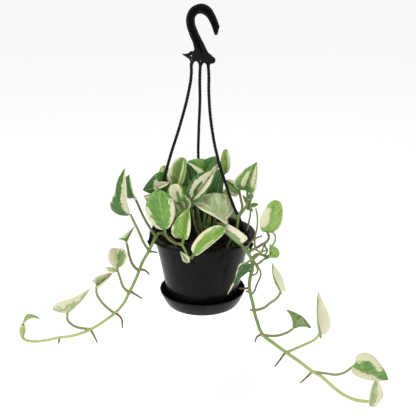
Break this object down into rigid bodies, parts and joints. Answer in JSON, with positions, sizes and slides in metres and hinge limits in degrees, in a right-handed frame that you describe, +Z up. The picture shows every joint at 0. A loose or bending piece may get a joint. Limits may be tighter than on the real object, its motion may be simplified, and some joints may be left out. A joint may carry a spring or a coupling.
{
  "type": "hanging potted pothos",
  "caption": "Variegated trailing pothos in a round black hanging pot with a drip saucer, held by a moulded hook with strands to the rim.",
  "frame": {"origin": "highest point of the hook's inner edge, where a rail would bear, in the middle of the hook's thickness", "axes": "+Z up along the hanging line, +X to the viewer's right and +Y away from the viewer of the picture"},
  "size_m": [0.5102, 0.2073, 0.5247],
  "materials": {
    "pot_plastic": "glossy black moulded plastic",
    "saucer_plastic": "glossy black moulded plastic",
    "hanger_plastic": "satin black moulded plastic",
    "potting_soil": "moist crumbly peat and bark",
    "pothos_leaf": "waxy living leaf, green with cream margins"
  },
  "bodies": {
    "root": {"pot": "pot_plastic", "saucer": "saucer_plastic", "hanger": "hanger_plastic", "soil": "potting_soil", "left_vine": "pothos_leaf", "right_vine": "pothos_leaf", "front_vine": "pothos_leaf", "crown_left": "pothos_leaf", "crown_centre": "pothos_leaf", "crown_right": "pothos_leaf", "crown_top": "pothos_leaf", "back_left": "pothos_leaf", "back_right": "pothos_leaf"}
  },
  "joints": []
}
